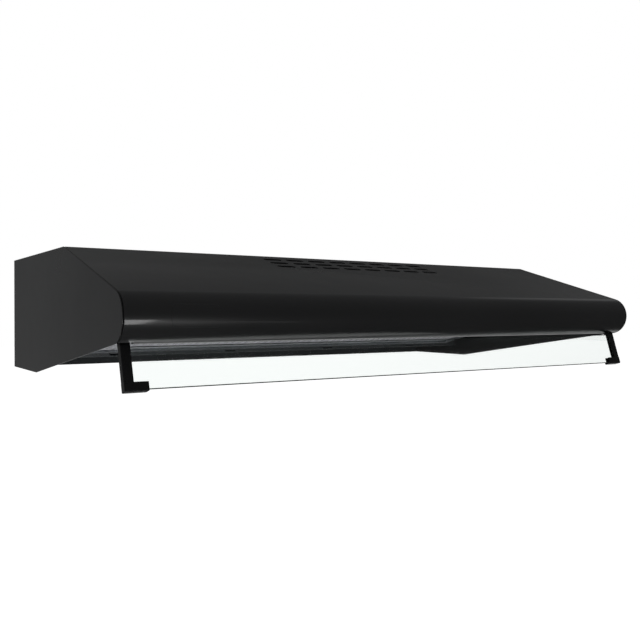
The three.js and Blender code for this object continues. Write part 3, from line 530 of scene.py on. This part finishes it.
# %% [markdown]
# ## The roll of the nose
#
# The slope runs into the rolled nose without a corner, and the roll carries on underneath to the
# lip. `nose_arc` spins one vertex about the nose axis, which is how a bmesh draws an arc: the
# canopy sheet and both side panels share it, so their edges match.

# %% Nose arc
NOSE_STEPS = 44

def nose_point(x, angle, radius=NOSE_RADIUS):
    return Vector((x, NOSE_Y + radius * math.cos(angle), NOSE_Z + radius * math.sin(angle)))

def nose_arc(shape, x, start, end, radius=NOSE_RADIUS, steps=NOSE_STEPS):
    """An arc of the nose between two angles, 0 towards the wall and 90 degrees up."""
    first = shape.verts.new(nose_point(x, start, radius))
    made = bmesh.ops.spin(shape, geom=[first], cent=(x, NOSE_Y, NOSE_Z), axis=(1, 0, 0),
                          angle=end - start, steps=steps, use_merge=False)
    last = [v for v in made["geom_last"] if isinstance(v, bmesh.types.BMVert)][0]
    return first, last

def link_points(shape, *verts):
    for one, two in zip(verts, verts[1:]):
        shape.edges.new((one, two))

NOSE_START = math.pi / 2 + SLOPE
NOSE_SIDE_END = 1.5 * math.pi + EDGE
NOSE_LIP_END = math.radians(272)
HEM_END = math.radians(250)
print("nose runs from", round(math.degrees(NOSE_START)), "to", round(math.degrees(NOSE_LIP_END)), "degrees")

# %% [markdown]
# ## Canopy sheet
#
# On the real hood one blank of steel makes the roof, the slope and the rolled nose, and its front
# edge is folded back on itself as a hem, so the lip is safe to touch. A closed outline pulled along
# X gives the same sheet with its true thickness. The air slots are punched, so they are carved.

# %% Canopy sheet
def canopy_section(x):
    shape = bmesh.new()
    corner = math.tan(SLOPE / 2) * SHEET
    rear_top = shape.verts.new((x, 0, TOP))
    crease = shape.verts.new((x, BREAK_Y, TOP))
    outer_start, outer_end = nose_arc(shape, x, NOSE_START, NOSE_LIP_END)
    hem_start, hem_end = nose_arc(shape, x, NOSE_LIP_END, HEM_END, NOSE_RADIUS - 2 * SHEET, 6)
    inner_start, inner_end = nose_arc(shape, x, HEM_END, NOSE_START, NOSE_RADIUS - SHEET)
    inner_crease = shape.verts.new((x, BREAK_Y + corner, TOP - SHEET))
    inner_rear = shape.verts.new((x, 0, TOP - SHEET))
    link_points(shape, rear_top, crease, outer_start)
    link_points(shape, outer_end, hem_start)
    link_points(shape, hem_end, inner_start)
    link_points(shape, inner_end, inner_crease, inner_rear, rear_top)
    face = bmesh.ops.contextual_create(shape, geom=shape.edges[:])["faces"][0]
    return shape, face

SEAM = mm(0.5)
canopy_half = shell_high.x - SEAM
canopy, canopy_face = canopy_section(-canopy_half)
extrude_face(canopy, canopy_face, (2 * canopy_half, 0, 0))
print("canopy sheet:", len(canopy.faces), "faces before punching")

# %% Punches
SLOT_ROWS, SLOTS_PER_ROW = 3, 8
SLOT_LONG, SLOT_HIGH = mm(26.5), mm(9)
SLOT_PITCH_X, SLOT_PITCH_UP = mm(34.6), mm(19)
SLOT_FROM_CREASE, SLOT_CENTRE_X = mm(20), mm(4.2)

def oblong(shape, width, height, corner, depth, segments=8):
    """A block with rounded upright corners, centred on the origin."""
    made = bmesh.ops.create_cube(shape, size=1)["verts"]
    bmesh.ops.scale(shape, verts=made, vec=(width, height, depth))
    upright = [e for e in shape.edges if all(v in made for v in e.verts)
               and abs(e.verts[0].co.z - e.verts[1].co.z) > depth * 0.5]
    rounded = bmesh.ops.bevel(shape, geom=upright, offset=corner, offset_type="OFFSET", profile=0.5,
                              segments=segments, affect="EDGES", material=-1)
    return list({v for v in rounded["verts"]} | {v for v in made if v.is_valid})

punches = bmesh.new()
for row in range(SLOT_ROWS):
    for place in range(SLOTS_PER_ROW):
        punch = bmesh.new()
        oblong(punch, SLOT_LONG, SLOT_HIGH, SLOT_HIGH / 2 - mm(0.02), mm(6))
        down = SLOT_FROM_CREASE + row * SLOT_PITCH_UP
        x = SLOT_CENTRE_X + (place - (SLOTS_PER_ROW - 1) / 2) * SLOT_PITCH_X
        spot = Vector((x, BREAK_Y - down * math.cos(SLOPE), TOP - down * math.sin(SLOPE)))
        punch.transform(Matrix.Translation(spot) @ Matrix.Rotation(SLOPE, 4, "X"))
        part = bpy.data.meshes.new("punch")
        punch.to_mesh(part)
        punch.free()
        punches.from_mesh(part)
        bpy.data.meshes.remove(part)
canopy = carved(canopy, punches)
print("slots punched:", SLOT_ROWS * SLOTS_PER_ROW, "faces now", len(canopy.faces))

# %% Outlet hole, screw holes and arm notches
cap_low, cap_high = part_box("outlet_blanking_cap")
OUTLET = (cap_low + cap_high) / 2
OUTLET_RADIUS, SCREW_HOLE_RADIUS = mm(55), mm(2.6)
THROUGH = mm(5)
NOTCH_INSET, NOTCH_FRONT, NOTCH_REAR = mm(13.5), mm(9), mm(16)
NOTCH_LOW, NOTCH_HIGH = mm(40), mm(60)

def drum(shape, radius, low, high, x, y, segments=64):
    """An upright solid cylinder."""
    turn = Matrix.Translation((x, y, (low + high) / 2))
    return bmesh.ops.create_cone(shape, cap_ends=True, segments=segments, radius1=radius, radius2=radius,
                                 depth=high - low, matrix=turn)["verts"]

holes = bmesh.new()
drum(holes, OUTLET_RADIUS, TOP - THROUGH, TOP + THROUGH, OUTLET.x, OUTLET.y)
for number in range(1, 5):
    screw_low, screw_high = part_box(f"blower_screw_{number}")
    screw = (screw_low + screw_high) / 2
    drum(holes, SCREW_HOLE_RADIUS, TOP - THROUGH, TOP + THROUGH, screw.x, screw.y, 24)
plate_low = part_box("visor_hinge_plate_right")[0]
for side in (-1, 1):
    left, right = sorted((side * (plate_low.x - NOTCH_INSET), side * HALF_WIDTH * 1.01))
    box_shape((left, NOSE_Y - NOTCH_FRONT, BOTTOM + NOTCH_LOW),
              (right, NOSE_Y + NOTCH_REAR, BOTTOM + NOTCH_HIGH), holes)
canopy = carved(canopy, holes)
side_edges = [e for e in canopy.edges if e.calc_face_angle(0) > math.radians(55)
              and all(abs(v.co.x) > canopy_half - MERGE for v in e.verts)
              and all((v.co.yz - Vector((NOSE_Y, NOSE_Z))).length > NOSE_RADIUS - MERGE for v in e.verts)]
bmesh.ops.bevel(canopy, geom=side_edges, offset=mm(0.7), offset_type="OFFSET", segments=3, profile=0.5,
                affect="EDGES", material=-1, clamp_overlap=False)
finish_piece("canopy_sheet", canopy, enamel, "canopy_shell", 40)
print("canopy sheet done")

# %% [markdown]
# ## Side panels
#
# Each side panel is a flat pressing that follows the canopy's outline. Its lower edge is folded
# inwards as a flat hem, which is the paler strip seen along the inside of the far panel. The face
# comes from the same arc as the nose, and a small bevel breaks the cut edge.

# %% Side panels
HEM_HIGH = mm(10)

def side_face(shape, x):
    crease = shape.verts.new((x, BREAK_Y, TOP))
    arc_start, arc_end = nose_arc(shape, x, NOSE_START, NOSE_SIDE_END)
    rear_level = shape.verts.new((x, REAR_LEVEL_Y, BOTTOM))
    rear_low = shape.verts.new((x, 0, BOTTOM))
    rear_top = shape.verts.new((x, 0, TOP))
    link_points(shape, arc_end, rear_level, rear_low, rear_top, crease, arc_start)
    return bmesh.ops.contextual_create(shape, geom=shape.edges[:])["faces"][0]

def hem_strip(x, thickness):
    """The folded strip along the lower edge, as its own flat bar."""
    start = nose_point(x, NOSE_SIDE_END) + Vector((0, mm(4), 0))
    slant = (REAR_LEVEL_Y - start.y) / (BOTTOM - start.z)
    start.z = BOTTOM + (start.y - REAR_LEVEL_Y) / slant + mm(0.3)
    up = Vector((0, 0, HEM_HIGH))
    lower = [start, Vector((x, REAR_LEVEL_Y, BOTTOM + mm(0.3))), Vector((x, mm(-1.6), BOTTOM + mm(0.3)))]
    shape = bmesh.new()
    ring = [shape.verts.new(p) for p in lower + [p + up for p in reversed(lower)]]
    link_points(shape, *ring, ring[0])
    face = bmesh.ops.contextual_create(shape, geom=shape.edges[:])["faces"][0]
    return round_edges(extrude_face(shape, face, (thickness, 0, 0)), mm(0.2))

def joined(*shapes):
    whole = bmesh.new()
    for shape in shapes:
        part = bpy.data.meshes.new("part")
        shape.to_mesh(part)
        shape.free()
        whole.from_mesh(part)
        bpy.data.meshes.remove(part)
    return whole

for side, name in ((-1, "left"), (1, "right")):
    plate = bmesh.new()
    face = side_face(plate, side * HALF_WIDTH)
    extrude_face(plate, face, (-side * SHEET, 0, 0))
    round_edges(plate, mm(0.3), 3, 50)
    hem = hem_strip(side * (HALF_WIDTH - SHEET), -side * SHEET * 0.95)
    finish_piece(f"side_sheet_{name}", joined(plate, hem), enamel, f"side_panel_{name}", 40)
print("side panels done")

# %% [markdown]
# ## Name plate
#
# The front carries a small name plate that is left blank here. It is bent to the roll of the nose,
# so it is cut from a curved strip: an arc is pulled sideways, given its thickness, and then
# trimmed to a rounded oblong.

# %% Blank name plate
badge_low, badge_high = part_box("blank_badge")
badge_centre = (badge_low + badge_high) / 2
BADGE_START, BADGE_END = math.radians(150), math.radians(206)
BADGE_PROUD, BADGE_THICK, BADGE_CORNER, BADGE_SPARE = mm(0.3), mm(0.8), mm(5), mm(2)
strip = bmesh.new()
nose_arc(strip, badge_low.x - BADGE_SPARE, BADGE_START, BADGE_END, NOSE_RADIUS + BADGE_PROUD, 24)
pulled = bmesh.ops.extrude_edge_only(strip, edges=strip.edges[:])["geom"]
bmesh.ops.translate(strip, verts=[v for v in pulled if isinstance(v, bmesh.types.BMVert)],
                    vec=(badge_high.x - badge_low.x + 2 * BADGE_SPARE, 0, 0))
bmesh.ops.recalc_face_normals(strip, faces=strip.faces)
bmesh.ops.solidify(strip, geom=strip.faces[:], thickness=BADGE_THICK)
bmesh.ops.recalc_face_normals(strip, faces=strip.faces)
trim = bmesh.new()
oblong(trim, badge_high.x - badge_low.x, badge_high.z - badge_low.z, BADGE_CORNER, mm(60))
trim.transform(Matrix.Translation(badge_centre) @ Matrix.Rotation(math.pi / 2, 4, "X"))
badge = carved(strip, trim, "INTERSECT")
round_edges(badge, mm(0.25), 2, 40)
finish_piece("blank_name_plate", badge, enamel, "blank_badge", 40)
print("name plate", round((badge_high.x - badge_low.x) * 1000), "mm wide")

# %% [markdown]
# ## Grease filter
#
# The filter is a frame of folded aluminium round several layers of expanded mesh. Expanded mesh
# is a sheet slit and pulled open into diamonds. A grid with every square poked and its old edges
# dissolved turns into the same diamonds, and the wireframe operator gives each strand its body.

# %% Expanded mesh
FILTER_TILT = math.radians(-15.6)
mesh_low, mesh_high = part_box("filter_mesh")
MESH_LONG = mm(259)
MESH_WIDE = mesh_high.x - mesh_low.x
MESH_CENTRE = (mesh_low + mesh_high) / 2

CELL_X, CELL_Y, STRAND = mm(9), mm(4.6), mm(0.55)
FLUTE_DEEP, FLUTE_PITCH = mm(1.8), mm(11.5)
LAYER_LIFT = mm(0.3)

def diamond_layer(shift, lift_up):
    """One layer of expanded mesh in the filter's own plane, fluted across its width."""
    layer = bmesh.new()
    across, along = round(MESH_WIDE / CELL_X), round(MESH_LONG / CELL_Y)
    bmesh.ops.create_grid(layer, x_segments=across, y_segments=along, size=0.5)
    bmesh.ops.scale(layer, verts=layer.verts, vec=(MESH_WIDE - CELL_X, MESH_LONG - CELL_Y, 1))
    straight = [e for e in layer.edges if not e.is_boundary]
    bmesh.ops.poke(layer, faces=layer.faces[:])
    bmesh.ops.dissolve_edges(layer, edges=straight, use_verts=False)
    bmesh.ops.wireframe(layer, faces=layer.faces[:], thickness=STRAND, use_replace=True,
                        use_boundary=True, use_even_offset=False)
    layer.transform(Matrix.Translation((shift, 0, lift_up)))
    for vert in layer.verts:
        vert.co.z += FLUTE_DEEP * math.cos(2 * math.pi * vert.co.x / FLUTE_PITCH) / 2
    return layer

layers = joined(diamond_layer(-CELL_X / 4, -LAYER_LIFT), diamond_layer(CELL_X / 4, LAYER_LIFT))
layers.transform(Matrix.Translation(MESH_CENTRE) @ Matrix.Rotation(FILTER_TILT, 4, "X"))
print("mesh strands:", len(layers.faces), "faces in two layers")
finish_piece("expanded_mesh", layers, mesh_metal, "filter_mesh", 50)

# %% [markdown]
# ## The parts that keep their shape
#
# The rest of the hood is folded plate, turned metal and moulded plastic whose shape the frame
# already has right. Each one is copied, merged and bevelled, and given its own finish.

# %% Rear panel
def outward(shape, beyond, by):
    """Moves everything past |x| = beyond outwards, so a sheet meets its neighbour."""
    for side in (-1, 1):
        ends = [v for v in shape.verts if side * v.co.x > beyond]
        bmesh.ops.translate(shape, verts=ends, vec=(side * by, 0, 0))
    return shape

REAR_ENDS, REAR_REACH = mm(375), mm(1.2)
rear = outward(merged_copy("rear_panel"), REAR_ENDS, REAR_REACH)
finish_piece("rear_sheet", round_edges(rear, mm(0.2)), inner_paint, "rear_panel")
print("rear panel reaches the side panels")

# %% Floor panel
# The front edge is folded up round a full bend, and the bend is what catches the light.
BEND = mm(1.8)
panel_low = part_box("floor_panel")[0]
bend = merged_copy("floor_panel")
folded = [e for e in bend.edges if e.calc_length() > mm(50)
          and all((v.co.yz - panel_low.yz).length < mm(0.1) for v in e.verts)]
bmesh.ops.bevel(bend, geom=folded, offset=BEND, offset_type="OFFSET", segments=6, profile=0.5,
                affect="EDGES", material=-1, clamp_overlap=False)
finish_piece("floor_sheet", bend, glossy_paint, "floor_panel")
print("floor panel bend:", len(folded), "edges")

# %% Visor arms
# The arm and its foot are one moulding. Its long edges are well rounded, most of all under the foot.
FOOT_UNDER, FOOT_ROUND = mm(3.2), mm(0.9)
for name in ("left", "right"):
    node = f"visor_arm_{name}"
    arm_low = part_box(node)[0]
    arm = merged_copy(node)
    under = [e for e in arm.edges if e.calc_length() > mm(4) and e.calc_face_angle(0) > math.radians(60)
             and all(v.co.z < arm_low.z + FOOT_UNDER for v in e.verts)]
    bmesh.ops.bevel(arm, geom=under, offset=FOOT_ROUND, offset_type="OFFSET", segments=3, profile=0.5,
                    affect="EDGES", material=-1, clamp_overlap=False)
    finish_piece(f"visor_arm_moulding_{name}", round_edges(arm, mm(0.3)), arm_plastic,
                 node)
print("visor arms done")

# %% Visor pane
# A cut pane has two polished faces and ground edges. The ground edges are matt and dark, and the
# small bevel beside them is ground too, or it would bend a bright line into view like a prism.
PANE_ROUND, SAME_WAY = mm(0.5), 0.999
pane = finish_piece("visor_pane", rounded_copy("visor_glass", PANE_ROUND, 3), visor_finish,
                    "visor_glass")
pane.data.materials.append(ground_edge)
across = max(pane.data.polygons, key=lambda face: face.area).normal.copy()
for face in pane.data.polygons:
    face.material_index = 0 if abs(face.normal.dot(across)) > SAME_WAY else 1
print("visor pane", [round(c * 1000) for c in pane.dimensions], "mm")

# %% Rounded copies
FINISHES = {
    "inner_steel": (inner_paint, mm(0.22), ["front_housing", "filter_side_rail_left",
                    "filter_side_rail_right"]),
    "zinc_plate": (zinc, mm(0.2), ["air_duct", "blower_top_plate", "blower_screw_1", "blower_screw_2",
                   "blower_screw_3", "blower_screw_4", "capacitor_clip", "visor_pivot_pin_left",
                   "visor_pivot_pin_right", "visor_clamp_screw_left", "visor_clamp_screw_right",
                   "motor_shaft"]),
    "filter_aluminium": (aluminium, mm(0.3), ["filter_frame"]),
    "black_plastic": (black_plastic, mm(0.35), ["outlet_blanking_cap", "visor_hinge_plate_left",
                      "visor_hinge_plate_right", "filter_latch_left", "filter_latch_right",
                      "filter_catch_left", "filter_catch_right",
                      "speed_slider_knob", "light_slider_knob", "terminal_box", "terminal_box_cover",
                      "cable_gland", "blower_inlet_guard"]),
    "grey_plastic": (grey_plastic, mm(0.3), ["blower_scroll", "impeller", "speed_switch", "light_switch"]),
    "white_plastic": (white_plastic, mm(0.3), ["lamp_holder_left", "lamp_holder_right", "motor_capacitor"]),
    "lamp_diffuser": (diffuser, mm(0.4), ["lamp_lens_left", "lamp_lens_right"]),
    "lamp_glass": (bulb_finish, mm(0.2), ["lamp_bulb_left", "lamp_bulb_right"]),
    "carbon_pad": (carbon, mm(0.4), ["charcoal_filter"]),
    "lead_rubber": (rubber, mm(0.2), ["lead_grommet", "motor_lead", "lamp_lead"]),
    "motor_steel": (motor_paint, mm(0.5), ["motor_body"]),
}
for slot, (material, width, nodes) in FINISHES.items():
    for node in nodes:
        finish_piece(f"{node}_finished", rounded_copy(node, width), material, node)
    print(slot, len(nodes))
